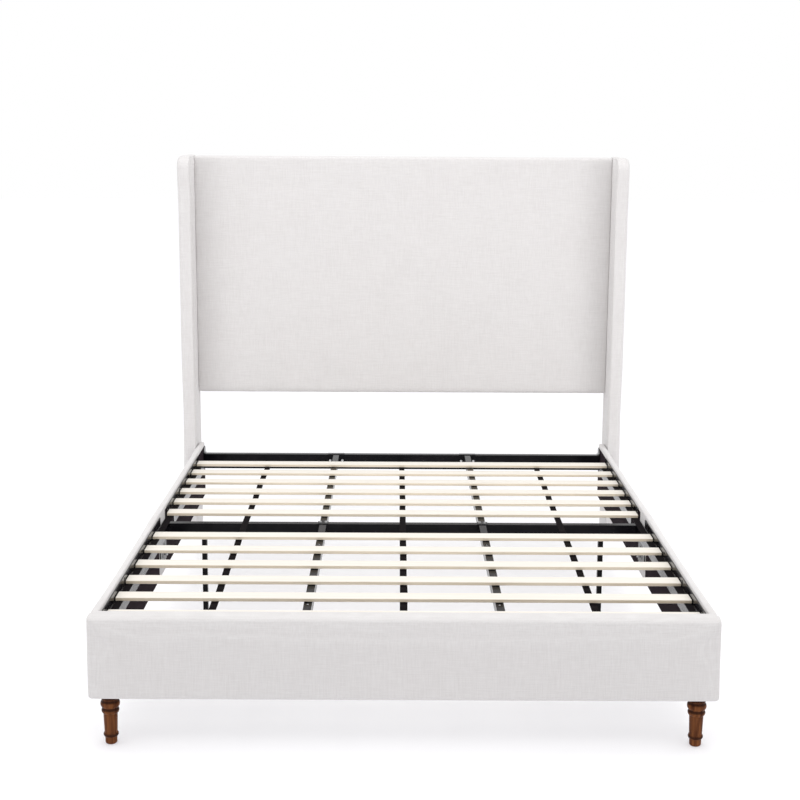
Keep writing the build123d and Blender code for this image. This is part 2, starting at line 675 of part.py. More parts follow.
def make_front_leg(name, side):
    """A turned wooden leg with three rings, bored from the top for its bolt."""
    centre = (side * LEG_X, LEG_Y)
    profile_plane = Plane(origin=(*centre, 0), x_dir=(1, 0, 0), z_dir=(0, -1, 0))
    low_start, low_end, low_radius = LEG_LOW_RING
    shaft_start, shaft_low, shaft_end, shaft_high = LEG_SHAFT
    mid_start, mid_end, mid_radius = LEG_MIDDLE_RING
    top_start, top_end, top_radius = LEG_TOP_RING
    with BuildPart() as leg:
        with BuildSketch(profile_plane):
            with BuildLine():
                toe = (LEG_FOOT_RADIUS - LEG_TOE_ROUND, LEG_TOE_ROUND)
                Line((0, 0), (toe[0], 0))
                CenterArc(toe, LEG_TOE_ROUND, 270, 90)
                Line((LEG_FOOT_RADIUS, LEG_TOE_ROUND), (LEG_FOOT_RADIUS, low_start))
                ThreePointArc(
                    (LEG_FOOT_RADIUS, low_start),
                    (low_radius, (low_start + low_end) / 2),
                    (shaft_low, shaft_start),
                )
                Line((shaft_low, shaft_start), (shaft_high, shaft_end))
                ThreePointArc(
                    (shaft_high, mid_start),
                    (mid_radius, (mid_start + mid_end) / 2),
                    (LEG_GROOVE_RADIUS, mid_end),
                )
                Line((LEG_GROOVE_RADIUS, mid_end), (LEG_GROOVE_RADIUS, top_start))
                ThreePointArc(
                    (LEG_GROOVE_RADIUS, top_start),
                    (top_radius, (top_start + top_end) / 2),
                    (LEG_COLLAR_RADIUS, top_end),
                )
                Polyline(
                    (LEG_COLLAR_RADIUS, top_end),
                    (LEG_COLLAR_RADIUS, LEG_TOP),
                    (0, LEG_TOP),
                    (0, 0),
                )
            make_face()
        revolve(axis=Axis((*centre, 0), (0, 0, 1)))
        bore = Plane.XY.offset(LEG_TOP - HANGER_IN_LEG)
        rods(bore, [centre], HANGER_RADIUS + HANGER_HOLE_CLEARANCE, HANGER_IN_LEG, Mode.SUBTRACT)
    save(leg, f"front_leg_{name}")


def make_leg_plates():
    """The steel plates under the front corners that the legs screw up against."""
    centres = [(side * LEG_X, LEG_Y) for side in SIDES.values()]
    with BuildPart() as plates:
        with BuildSketch(Plane.XY.offset(LEG_TOP)):
            with Locations(*centres):
                Rectangle(LEG_PLATE_SIZE, LEG_PLATE_SIZE)
                Circle(HANGER_RADIUS + HANGER_HOLE_CLEARANCE, mode=Mode.SUBTRACT)
            with Locations(*leg_plate_screw_points()):
                Circle(SCREW_RADIUS + HOLE_CLEARANCE, mode=Mode.SUBTRACT)
        extrude(amount=PLATE)
    save(plates, "leg_plates")


def make_leg_hanger_bolts():
    """The threaded rods that hold the front legs."""
    centres = [(side * LEG_X, LEG_Y) for side in SIDES.values()]
    with BuildPart() as bolts:
        start = Plane.XY.offset(LEG_TOP - HANGER_IN_LEG)
        rods(start, centres, HANGER_RADIUS, HANGER_LENGTH)
    save(bolts, "leg_hanger_bolts")


def make_corner_blocks():
    """Timber blocks in the two front corners, bored for the leg bolts."""
    with BuildPart() as blocks:
        for side in SIDES.values():
            block(
                (side * (RAIL_INNER - BLOCK_SIZE), side * RAIL_INNER),
                (FOOTBOARD_BACK_Y, FOOTBOARD_BACK_Y + BLOCK_SIZE),
                (RAIL_BOTTOM, BLOCK_TOP),
            )
        centres = [(side * LEG_X, LEG_Y) for side in SIDES.values()]
        bore = Plane.XY.offset(RAIL_BOTTOM)
        rods(bore, centres, HANGER_RADIUS + BLOCK_HOLE_CLEARANCE, HANGER_LENGTH, Mode.SUBTRACT)
    save(blocks, "corner_blocks")


# ---------------------------------------------------------------- middle support legs


def make_support_legs():
    """Three square steel tubes that hold up the middle bar."""
    centres = [(x, MID_BAR_Y) for x in SUPPORT_XS.values()]
    inside = SUPPORT_TUBE - 2 * SUPPORT_WALL
    with BuildPart() as legs:
        with BuildSketch(Plane.XY.offset(SUPPORT_BOTTOM)):
            with Locations(*centres):
                Rectangle(SUPPORT_TUBE, SUPPORT_TUBE)
                Rectangle(inside, inside, mode=Mode.SUBTRACT)
        extrude(amount=DECK_Z - MID_BAR_HEIGHT - SUPPORT_BOTTOM)
    save(legs, "support_legs")


def make_leg_plugs():
    """Threaded plugs in the lower ends of the support legs."""
    centres = [(x, MID_BAR_Y) for x in SUPPORT_XS.values()]
    inside = SUPPORT_TUBE - 2 * SUPPORT_WALL
    with BuildPart() as plugs:
        with BuildSketch(Plane.XY.offset(SUPPORT_BOTTOM)):
            with Locations(*centres):
                Rectangle(inside, inside)
                Circle(STUD_RADIUS + STUD_CLEARANCE, mode=Mode.SUBTRACT)
        extrude(amount=PLUG_LENGTH)
    save(plugs, "leg_plugs")


def make_levelling_foot(name, x):
    """A crowned round pad on a threaded stud."""
    profile_plane = Plane(origin=(x, MID_BAR_Y, 0), x_dir=(1, 0, 0), z_dir=(0, -1, 0))
    with BuildPart() as foot:
        with BuildSketch(profile_plane):
            with BuildLine():
                Polyline((0, 0), (FOOT_PAD_RADIUS, 0), (FOOT_PAD_RADIUS, FOOT_PAD_HEIGHT))
                Line(
                    (FOOT_PAD_RADIUS, FOOT_PAD_HEIGHT),
                    (2 * STUD_RADIUS, FOOT_PAD_CROWN),
                )
                Polyline(
                    (2 * STUD_RADIUS, FOOT_PAD_CROWN),
                    (STUD_RADIUS, FOOT_PAD_CROWN),
                    (STUD_RADIUS, STUD_TOP),
                    (0, STUD_TOP),
                    (0, 0),
                )
            make_face()
        revolve(axis=Axis((x, MID_BAR_Y, 0), (0, 0, 1)))
    save(foot, f"levelling_foot_{name}")


# ---------------------------------------------------------------- slat roll


def slat_centres():
    """The slats' middles along Y, from the head to the foot."""
    head = [HEAD_SLAT_Y - k * HEAD_SLAT_PITCH for k in range(SLATS_PER_GROUP)]
    foot = [FOOT_SLAT_Y - k * FOOT_SLAT_PITCH for k in range(SLATS_PER_GROUP)]
    return head + foot


def make_slat(number, middle_y):
    """One wooden slat with softened long edges."""
    with BuildPart() as slat:
        block(
            (-SLAT_LENGTH / 2, SLAT_LENGTH / 2),
            (middle_y - SLAT_WIDTH / 2, middle_y + SLAT_WIDTH / 2),
            (SLAT_Z, SLAT_Z + SLAT_THICKNESS),
        )
        fillet(slat.edges().filter_by(Axis.X), SLAT_EDGE_RADIUS)
    save(slat, f"slat_{number:02d}")


def make_slat_straps():
    """Five webbing straps that join the slats from below."""
    centres = slat_centres()
    span = (centres[-1] - SLAT_WIDTH / 2, centres[0] + SLAT_WIDTH / 2)
    with BuildPart() as straps:
        for x in WEBBING_XS:
            across = (x - WEBBING_WIDTH / 2, x + WEBBING_WIDTH / 2)
            block(across, span, (WEBBING_Z, SLAT_Z))
    save(straps, "slat_straps")


# ---------------------------------------------------------------- fasteners


def make_joint_bolts():
    """The wood bolts that hold the boards, wings and brackets together."""
    stile_x = RAIL_OUTER - PANEL_SIDE_GAP - TIMBER
    stile_y = PANEL_FRONT_Y + PANEL_FOAM + PANEL_BOARD + PANEL_FRAME / 2
    stile_points = [(stile_y, z) for z in STILE_BOLT_HEIGHTS]
    block_x = RAIL_INNER - BLOCK_SIZE
    block_y = FOOTBOARD_BACK_Y + BLOCK_SIZE
    wing_x = RAIL_OUTER + BOLT_INTO_BOARD
    into_footboard = BLOCK_SIZE + BOLT_INTO_BOARD - CLOTH
    with BuildPart() as bolts:
        for side in SIDES.values():
            bolts_along_x(side, stile_x, stile_points, wing_x - stile_x)
            bolts_along_x(side, ANGLE_FACE, REAR_BOLTS, wing_x - ANGLE_FACE)
            bolts_along_x(side, ANGLE_FACE, JOINT_BOLTS, RAIL_THICKNESS - RAIL_COVER_OUTER)
            bolts_along_x(side, block_x, BLOCK_BOLTS_TO_RAIL, BLOCK_SIZE + BLOCK_BOLT_BITE)
            spots = [(side * x, z) for x, z in BLOCK_BOLTS_TO_FOOTBOARD]
            heads = Plane(
                origin=(0, block_y + BOLT_HEAD, 0), x_dir=(1, 0, 0), z_dir=(0, -1, 0)
            )
            rods(heads, spots, BOLT_HEAD_RADIUS, BOLT_HEAD)
            rods(heads, spots, BOLT_RADIUS, BOLT_HEAD + into_footboard)
    save(bolts, "joint_bolts")


def make_steel_bolts():
    """The zinc bolts of the beams' brackets and of the rear bar."""
    rear_front = REAR_BAR_Y - BAR_DEPTH / 2 - BRACKET_STEEL
    rear_back = REAR_BAR_Y + BAR_DEPTH / 2 + PLATE
    toward_foot = {"x_dir": (1, 0, 0), "z_dir": (0, -1, 0)}
    toward_head = {"x_dir": (-1, 0, 0), "z_dir": (0, 1, 0)}
    shoe_y = FOOTBOARD_BACK_Y + BRACKET_STEEL
    shoe = Plane(origin=(0, shoe_y + STEEL_BOLT_HEAD, 0), **toward_foot)
    hook = Plane(origin=(0, rear_front - STEEL_BOLT_HEAD, 0), **toward_head)
    flange = Plane(origin=(0, rear_back + STEEL_BOLT_HEAD, 0), **toward_foot)
    saddle_top = DECK_Z + BRACKET_STEEL + STEEL_BOLT_HEAD
    saddle = Plane(origin=(0, 0, saddle_top), x_dir=(1, 0, 0), z_dir=(0, 0, -1))
    shoe_spots = beam_bolt_points(SHOE_BOLT_OFFSET, SHOE_BOLT_Z)
    hook_spots = beam_bolt_points(HOOK_BOLT_OFFSET, HOOK_BOLT_Z)
    saddle_spots = beam_bolt_points(SADDLE_BOLT_OFFSET, -MID_BAR_Y)
    flange_spots = [(side * x, z) for side in SIDES.values() for x, z in REAR_FLANGE_BOLTS]
    with BuildPart() as bolts:
        for plane, spots in (
            (shoe, shoe_spots),
            (hook, hook_spots),
            (flange, flange_spots),
            (saddle, saddle_spots),
        ):
            rods(plane, spots, STEEL_BOLT_HEAD_RADIUS, STEEL_BOLT_HEAD)
            rods(plane, spots, BOLT_RADIUS, STEEL_BOLT_HEAD + STEEL_BOLT_SHANK)
    save(bolts, "steel_bolts")


def make_wood_screws():
    """The screws of the rail angles and of the leg plates."""
    angle_points = angle_screw_points("foot") + angle_screw_points("head")
    plate_points = leg_plate_screw_points()
    with BuildPart() as screws:
        for side in SIDES.values():
            head_x = ANGLE_FACE - SCREW_HEAD
            whole = SCREW_HEAD + SCREW_LENGTH
            low_head = head_x if side > 0 else -ANGLE_FACE
            low_shank = head_x if side > 0 else -head_x - whole
            rods(Plane.YZ.offset(low_head), angle_points, SCREW_HEAD_RADIUS, SCREW_HEAD)
            rods(Plane.YZ.offset(low_shank), angle_points, SCREW_RADIUS, whole)
        below = Plane.XY.offset(LEG_TOP - SCREW_HEAD)
        rods(below, plate_points, SCREW_HEAD_RADIUS, SCREW_HEAD)
        rods(below, plate_points, SCREW_RADIUS, SCREW_HEAD + SCREW_LENGTH)
    save(screws, "wood_screws")


# ---------------------------------------------------------------- the whole bed

os.makedirs("parts", exist_ok=True)

make_footboard_cover()
make_footboard_core()
make_footboard_lining()
for side_name, side_sign in SIDES.items():
    for half_name in RAIL_HALVES:
        make_side_rail_cover(side_name, side_sign, half_name)
        make_side_rail_core(side_name, side_sign, half_name)
        make_rail_angle(side_name, side_sign, half_name)
    make_side_rail_lining(side_name, side_sign)
    make_crossbar_bracket(side_name, side_sign)
    make_rear_bracket(side_name, side_sign)
    make_wing_cover(side_name, side_sign)
    make_wing_core(side_name, side_sign)
    make_beam(side_name, side_sign)
    make_front_leg(side_name, side_sign)
make_headboard_pad()
make_headboard_frame()
make_headboard_back_cloth()
make_wing_glides()
make_middle_crossbar()
make_rear_crossbar()
make_beam_brackets()
make_corner_blocks()
make_leg_plates()
make_leg_hanger_bolts()
make_support_legs()
make_leg_plugs()
for foot_name, foot_x in SUPPORT_XS.items():
    make_levelling_foot(foot_name, foot_x)
for slat_number, slat_y in enumerate(slat_centres(), start=1):
    make_slat(slat_number, slat_y)
make_slat_straps()
make_joint_bolts()
make_steel_bolts()
make_wood_screws()
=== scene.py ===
import json
import math

import bmesh
import bpy
from mathutils import Matrix, Vector, noise


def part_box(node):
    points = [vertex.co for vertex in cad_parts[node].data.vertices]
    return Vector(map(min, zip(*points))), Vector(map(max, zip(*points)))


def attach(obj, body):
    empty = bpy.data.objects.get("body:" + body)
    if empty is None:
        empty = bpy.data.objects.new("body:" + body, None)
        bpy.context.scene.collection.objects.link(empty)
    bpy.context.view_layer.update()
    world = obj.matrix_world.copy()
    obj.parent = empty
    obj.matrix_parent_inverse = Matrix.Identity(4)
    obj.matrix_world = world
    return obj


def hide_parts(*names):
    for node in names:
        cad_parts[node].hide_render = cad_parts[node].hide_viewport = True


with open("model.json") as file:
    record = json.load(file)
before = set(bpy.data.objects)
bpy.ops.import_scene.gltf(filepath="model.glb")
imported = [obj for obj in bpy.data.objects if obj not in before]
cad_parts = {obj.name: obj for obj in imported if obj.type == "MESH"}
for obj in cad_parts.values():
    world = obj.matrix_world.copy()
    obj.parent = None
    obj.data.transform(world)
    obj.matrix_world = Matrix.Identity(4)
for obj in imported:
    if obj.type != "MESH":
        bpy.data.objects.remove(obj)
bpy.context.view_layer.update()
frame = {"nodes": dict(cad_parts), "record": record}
nodes = frame["nodes"]
scene = bpy.context.scene

# ---------------------------------------------------------------- camera

CAMERA_PLACE = Vector((-0.0239, -4.4917, 1.5622))
CAMERA_YAW = 0.0029
CAMERA_PITCH = 0.1852
CAMERA_ROLL = 0.0055
CAMERA_LENS = 63.77


def make_camera():
    """The camera at the foot of the bed, a little above the headboard."""
    forward = Vector(
        (
            math.sin(CAMERA_YAW) * math.cos(CAMERA_PITCH),
            math.cos(CAMERA_YAW) * math.cos(CAMERA_PITCH),
            -math.sin(CAMERA_PITCH),
        )
    )
    right = Vector((math.cos(CAMERA_YAW), -math.sin(CAMERA_YAW), 0))
    up = right.cross(forward)
    turned_right = right * math.cos(CAMERA_ROLL) + up * math.sin(CAMERA_ROLL)
    turned_up = up * math.cos(CAMERA_ROLL) - right * math.sin(CAMERA_ROLL)
    axes = Matrix((turned_right, turned_up, -forward)).transposed()
    data = bpy.data.cameras.new("camera")
    data.lens = CAMERA_LENS
    data.sensor_width = 36
    camera = bpy.data.objects.new("camera", data)
    scene.collection.objects.link(camera)
    camera.matrix_world = Matrix.Translation(CAMERA_PLACE) @ axes.to_4x4()
    scene.camera = camera


make_camera()

# ---------------------------------------------------------------- materials


class Look:
    """One material, with short calls for its nodes."""

    def __init__(self, name):
        self.material = bpy.data.materials.new(name)
        self.material.use_nodes = True
        self.tree = self.material.node_tree
        self.shader = self.tree.nodes["Principled BSDF"]
        self.place = self.node("ShaderNodeTexCoord").outputs["Object"]

    def node(self, kind, **settings):
        made = self.tree.nodes.new(kind)
        for key, value in settings.items():
            setattr(made, key, value)
        return made

    def feed(self, socket, value):
        if isinstance(value, bpy.types.NodeSocket):
            self.tree.links.new(value, socket)
        else:
            socket.default_value = value

    def math(self, operation, first, second=0.0):
        made = self.node("ShaderNodeMath", operation=operation)
        self.feed(made.inputs[0], first)
        self.feed(made.inputs[1], second)
        return made.outputs[0]

    def stretched(self, scale):
        made = self.node("ShaderNodeVectorMath", operation="MULTIPLY")
        self.feed(made.inputs[0], self.place)
        made.inputs[1].default_value = scale
        return made.outputs[0]

    def noise(self, scale, detail=3.0, stretch=(1, 1, 1)):
        made = self.node("ShaderNodeTexNoise")
        self.feed(made.inputs["Vector"], self.stretched(stretch))
        made.inputs["Scale"].default_value = scale
        made.inputs["Detail"].default_value = detail
        return made.outputs["Fac"]

    def ramp(self, value, low, high):
        made = self.node("ShaderNodeMapRange")
        self.feed(made.inputs["Value"], value)
        made.inputs["From Min"].default_value = low
        made.inputs["From Max"].default_value = high
        return made.outputs["Result"]

    def mix(self, factor, first, second):
        made = self.node("ShaderNodeMix", data_type="RGBA")
        self.feed(made.inputs["Factor"], factor)
        colours = [s for s in made.inputs if s.type == "RGBA"]
        self.feed(colours[0], first)
        self.feed(colours[1], second)
        return [s for s in made.outputs if s.type == "RGBA"][0]

    def bump(self, height, strength, distance):
        made = self.node("ShaderNodeBump")
        made.inputs["Strength"].default_value = strength
        made.inputs["Distance"].default_value = distance
        self.feed(made.inputs["Height"], height)
        self.feed(self.shader.inputs["Normal"], made.outputs["Normal"])

    def set(self, **sockets):
        for key, value in sockets.items():
            self.feed(self.shader.inputs[key.replace("_", " ")], value)

    def threads(self, period, wobble):
        """Rows of threads across all three axes: a plain weave on any square face."""
        drift = self.math("MULTIPLY", self.math("SUBTRACT", self.noise(scale=60), 0.5), wobble)
        parts = self.node("ShaderNodeSeparateXYZ")
        self.feed(parts.inputs[0], self.place)
        total = 0.0
        for axis in range(3):
            turned = self.math("MULTIPLY", parts.outputs[axis], 2 * math.pi / period)
            wave = self.math("SINE", self.math("ADD", turned, drift))
            total = self.math("ADD", wave, total)
        return total


def shade(red, green, blue):
    return (red, green, blue, 1.0)


def make_linen():
    """Off-white woven linen with thick and thin threads both ways."""
    look = Look("linen")
    weave = look.ramp(look.threads(period=0.0034, wobble=3.0), low=-2.0, high=2.0)
    across = look.noise(scale=1.0, detail=4.0, stretch=(22, 22, 420))
    upright = look.noise(scale=1.0, detail=4.0, stretch=(420, 420, 22))
    slubs = look.ramp(look.math("ADD", across, upright), low=0.72, high=1.28)
    patches = look.noise(scale=3.0, detail=2.0)
    height = look.math("ADD", look.math("MULTIPLY", weave, 0.6), slubs)
    tone = look.math("MULTIPLY", height, 0.62)
    woven = look.mix(tone, shade(0.55, 0.533, 0.530), shade(0.65, 0.638, 0.636))
    soft = look.mix(look.math("MULTIPLY", patches, 0.10), woven, shade(0.66, 0.60, 0.59))
    look.set(Base_Color=soft, Roughness=0.92, Sheen_Weight=0.22, Sheen_Roughness=0.5)
    look.shader.inputs["Specular IOR Level"].default_value = 0.2
    look.bump(height, strength=0.5, distance=0.0005)
    return look.material


def make_black_cloth():
    """Thin non-woven cloth with pressed dots."""
    look = Look("black_cloth")
    dots = look.ramp(look.threads(period=0.0025, wobble=0.5), low=-2.5, high=2.5)
    creases = look.noise(scale=9.0, detail=4.0)
    colour = look.mix(creases, shade(0.010, 0.006, 0.008), shade(0.024, 0.014, 0.020))
    look.set(Base_Color=colour, Roughness=0.8, Sheen_Weight=0.01)
    look.shader.inputs["Specular IOR Level"].default_value = 0.02
    look.bump(look.math("ADD", dots, creases), strength=0.4, distance=0.0004)
    return look.material


def make_webbing():
    """Black webbing with a fine woven pattern."""
    look = Look("webbing")
    ribs = look.ramp(look.threads(period=0.0022, wobble=0.3), low=-2.0, high=2.0)
    colour = look.mix(ribs, shade(0.004, 0.003, 0.004), shade(0.014, 0.012, 0.013))
    look.set(Base_Color=colour, Roughness=0.85)
    look.shader.inputs["Specular IOR Level"].default_value = 0.02
    look.bump(ribs, strength=0.6, distance=0.0004)
    return look.material


def make_slat_wood():
    """Pale laminated wood: fine grain on the faces, and on the upright edges tan layers whose
    darker tan is partly painted shade.
    """
    look = Look("slat_wood")
    grain = look.ramp(look.noise(scale=1.0, detail=5.0, stretch=(5, 160, 160)), low=0.3, high=0.7)
    chance = look.node("ShaderNodeObjectInfo").outputs["Random"]
    face = look.mix(grain, shade(0.70, 0.655, 0.590), shade(0.77, 0.735, 0.675))
    face = look.mix(look.math("MULTIPLY", chance, 0.35), face, shade(0.74, 0.690, 0.620))
    layers = look.ramp(look.noise(scale=1.0, detail=2.0, stretch=(3, 3, 1400)), low=0.35, high=0.65)
    # upright edges' colour: the plies' own layers, darkened by painted shade
    edge_plies_and_shade = look.mix(layers, shade(0.56, 0.465, 0.35), shade(0.80, 0.715, 0.58))
    parts = look.node("ShaderNodeSeparateXYZ")
    look.feed(parts.inputs[0], look.node("ShaderNodeNewGeometry").outputs["Normal"])
    upright = look.ramp(look.math("ABSOLUTE", parts.outputs["Z"]), low=0.35, high=0.8)
    look.set(Base_Color=look.mix(upright, edge_plies_and_shade, face), Roughness=0.5)
    look.bump(grain, strength=0.15, distance=0.0003)
    return look.material


# heights on the leg where painted shade darkens the wood, under its rings and under the footboard,
# and how far from each it fades in
LEG_SHADE_HEIGHTS = (0.0255, 0.0970, 0.1190, 0.1270)
LEG_SHADE_FADE = (0.0058, 0.0018)
LEG_SHADE_DEPTH = 0.85


def make_walnut():
    """Dark stained turned wood with satin lacquer, with painted shade along the rings and under the
    footboard.
    """
    look = Look("walnut")
    grain = look.ramp(look.noise(scale=1.0, detail=6.0, stretch=(130, 130, 14)), low=0.3, high=0.7)
    pores = look.noise(scale=1.0, detail=2.0, stretch=(900, 900, 60))
    colour = look.mix(grain, shade(0.052, 0.013, 0.004), shade(0.185, 0.066, 0.022))
    parts = look.node("ShaderNodeSeparateXYZ")
    look.feed(parts.inputs[0], look.place)
    # painted shade: the colour darkens at each listed height, under the rings and under the
    # footboard
    painted_shade = 0.0
    for height in LEG_SHADE_HEIGHTS:
        away = look.math("ABSOLUTE", look.math("SUBTRACT", parts.outputs["Z"], height))
        painted_shade = look.math("MAXIMUM", look.ramp(away, *LEG_SHADE_FADE), painted_shade)
    colour = look.mix(look.math("MULTIPLY", painted_shade, LEG_SHADE_DEPTH), colour, shade(0.022, 0.005, 0.002))
    look.set(Base_Color=colour, Roughness=look.ramp(grain, low=-1.2, high=4.0))
    look.shader.inputs["Specular IOR Level"].default_value = 0.05
    look.shader.inputs["Coat Weight"].default_value = 0.06
    look.shader.inputs["Coat Roughness"].default_value = 0.25
    look.bump(pores, strength=0.2, distance=0.0003)
    return look.material


def make_timber():
    """Bare board and sawn timber, for what is inside."""
    look = Look("timber")
    grain = look.noise(scale=1.0, detail=5.0, stretch=(90, 90, 6))
    colour = look.mix(grain, shade(0.42, 0.28, 0.15), shade(0.62, 0.46, 0.29))
    look.set(Base_Color=colour, Roughness=0.7)
    look.bump(grain, strength=0.3, distance=0.0005)
    return look.material


def make_black_steel(name, shine):
    """Black powder coat with a slight orange peel; shine is how strongly it reflects."""
    look = Look(name)
    peel = look.noise(scale=420.0, detail=2.0)
    wear = look.ramp(look.noise(scale=14.0, detail=5.0), low=0.35, high=0.75)
    colour = look.mix(wear, shade(0.003, 0.003, 0.004), shade(0.008, 0.007, 0.009))
    look.set(Base_Color=colour, Roughness=look.ramp(wear, low=-0.9, high=6.0))
    look.shader.inputs["Specular IOR Level"].default_value = shine
    look.shader.inputs["Coat Weight"].default_value = 0.03
    look.shader.inputs["Coat Roughness"].default_value = 0.06
    look.bump(peel, strength=0.06, distance=0.0001)
    return look.material


def make_zinc():
    """Bright zinc plate with faint cloudy patches."""
    look = Look("zinc")
    clouds = look.noise(scale=160.0, detail=3.0)
    colour = look.mix(clouds, shade(0.50, 0.51, 0.53), shade(0.78, 0.78, 0.77))
    look.set(Base_Color=colour, Roughness=look.ramp(clouds, low=-0.6, high=2.4), Metallic=1.0)
    look.bump(clouds, strength=0.1, distance=0.0001)
    return look.material


def make_nylon():
    """Moulded black nylon."""
    look = Look("nylon")
    grain = look.noise(scale=700.0, detail=2.0)
    colour = look.mix(grain, shade(0.010, 0.010, 0.010), shade(0.028, 0.028, 0.028))
    look.set(Base_Color=colour, Roughness=0.45)
    look.bump(grain, strength=0.2, distance=0.0002)
    return look.material


LOOKS = {
    "upholstery": make_linen(),
    "timber": make_timber(),
    "slat_wood": make_slat_wood(),
    "walnut": make_walnut(),
    "black_steel": make_black_steel("black_steel", shine=0.08),
    "zinc": make_zinc(),
    "black_lining": make_black_cloth(),
    "webbing": make_webbing(),
    "nylon": make_nylon(),
}

ANGLE_STEEL = make_black_steel("angle_steel", shine=0.5)

for part in frame["record"]["subparts"]:
    node = part["node"]
    look = ANGLE_STEEL if node.startswith("rail_angle") else LOOKS[part["material_slot"]]
    for place in nodes[node].material_slots:
        place.material = look

# ---------------------------------------------------------------- padded pieces
# lengths are in metres

X, Y, Z = 0, 1, 2
SIDES = {"left": -1, "right": 1}
COVER_LAP = 0.0005
TOP_WEAR = 0.004
SIM_FRAMES = 20
AIR_PRESSURE = 4.0
CLOTH_STRETCH = 20
CLOTH_BEND = 1.5
RIPPLE_HEIGHT = 0.0007
RIPPLE_SIZE = 0.11
NOSE_STEPS = 12
EDGE_REACH = 0.01
FACE_HOLD = 0.003
END_HOLD = 0.004


def profile_prism(name, outline, low_x, high_x, edge_radius, rounded):
    """A solid with a flat outline in Y and Z, run along X, with chosen edges rounded."""
    mesh = bmesh.new()
    corners = [mesh.verts.new((low_x, y, z)) for y, z in outline]
    face = mesh.faces.new(corners)
    grown = bmesh.ops.extrude_face_region(mesh, geom=[face])
    moved = [g for g in grown["geom"] if isinstance(g, bmesh.types.BMVert)]
    bmesh.ops.translate(mesh, verts=moved, vec=(high_x - low_x, 0, 0))
    bmesh.ops.recalc_face_normals(mesh, faces=mesh.faces)
    chosen = [e for e in mesh.edges if rounded(e.verts[0].co, e.verts[1].co)]
    bmesh.ops.bevel(mesh, geom=chosen, offset=edge_radius, segments=8, profile=0.5, affect="EDGES")
    data = bpy.data.meshes.new(name)
    mesh.to_mesh(data)
    mesh.free()
    piece = bpy.data.objects.new(name, data)
    scene.collection.objects.link(piece)
    return piece


def bake(piece):
    """Replace a piece's mesh by what its modifiers make of it."""
    graph = bpy.context.evaluated_depsgraph_get()
    made = bpy.data.meshes.new_from_object(piece.evaluated_get(graph))
    piece.modifiers.clear()
    piece.data = made


def remesh(piece, voxel):
    """Even quads all over, so that cloth bends the same everywhere."""
    step = piece.modifiers.new("remesh", "REMESH")
    step.mode = "VOXEL"
    step.voxel_size = voxel
    smooth = piece.modifiers.new("smooth", "SMOOTH")
    smooth.factor = 0.5
    smooth.iterations = 2
    bake(piece)


def set_seams(piece, seams):
    """Put points back on the planes the remesh wore away; a seam is (axis, plane, reach)."""
    for vertex in piece.data.vertices:
        for axis, plane, reach in seams:
            if abs(vertex.co[axis] - plane) < reach:
                vertex.co[axis] = plane


def inflate(piece, held, cap):
    """Fill a piece with air against its held points, and limit how far it swells."""
    start = [v.co.copy() for v in piece.data.vertices]
    group = piece.vertex_groups.new(name="held")
    group.add([i for i, co in enumerate(start) if held(co)], 1.0, "REPLACE")
    cloth = piece.modifiers.new("cloth", "CLOTH")
    settings = cloth.settings
    settings.use_pressure = True
    settings.uniform_pressure_force = AIR_PRESSURE
    settings.vertex_group_mass = "held"
    settings.effector_weights.gravity = 0
    settings.tension_stiffness = CLOTH_STRETCH
    settings.compression_stiffness = CLOTH_STRETCH
    settings.bending_stiffness = CLOTH_BEND
    cloth.point_cache.frame_start = 1
    cloth.point_cache.frame_end = SIM_FRAMES
    for number in range(1, SIM_FRAMES + 1):
        scene.frame_set(number)
    bake(piece)
    for vertex, old in zip(piece.data.vertices, start):
        move = vertex.co - old
        if move.length > cap:
            vertex.co = old + move.normalized() * cap
    scene.frame_set(1)


def ripple(piece, held):
    """The slight unevenness of fabric pulled over foam."""
    normals = [v.normal.copy() for v in piece.data.vertices]
    for vertex, normal in zip(piece.data.vertices, normals):
        if not held(vertex.co):
            vertex.co += normal * (noise.noise(vertex.co / RIPPLE_SIZE) * RIPPLE_HEIGHT)


def soften(piece, replaced, held, seams, voxel, cap):
    """Turn a prism into a padded, upholstered piece that stands for its CAD solid."""
    remesh(piece, voxel)
    set_seams(piece, seams)
    inflate(piece, held, cap)
    ripple(piece, held)
    detail = piece.modifiers.new("detail", "SUBSURF")
    detail.levels = 1
    detail.render_levels = 1
    bake(piece)
    for face in piece.data.polygons:
        face.use_smooth = True
    piece.data.materials.clear()
    piece.data.materials.append(LOOKS["upholstery"])
    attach(piece, "bed_frame")
    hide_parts(replaced)


def rectangle(low_y, high_y, low_z, high_z):
    return [(low_y, low_z), (high_y, low_z), (high_y, high_z), (low_y, high_z)]


def make_footboard():
    """The footboard's cover: its front's top and upright edges and its ends' tops are rounded."""
    low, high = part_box("footboard_cover")
    back = high.y - COVER_LAP
    wear = 0.002
    outline = rectangle(low.y, back, low.z - wear, high.z + wear)

    def rounded(a, b):
        front = max(a.y, b.y) < low.y + EDGE_REACH and max(a.z, b.z) > low.z + EDGE_REACH
        top = min(a.z, b.z) > high.z - EDGE_REACH and min(a.y, b.y) < back - EDGE_REACH
        return front or top

    def held(co):
        return co.y > back - END_HOLD or co.z < low.z + FACE_HOLD

    piece = profile_prism("footboard", outline, low.x, high.x, edge_radius=0.014, rounded=rounded)
    seams = [(Y, back, 0.005), (Z, low.z - wear, 0.005)]
    soften(piece, "footboard_cover", held, seams, voxel=0.007, cap=0.004)


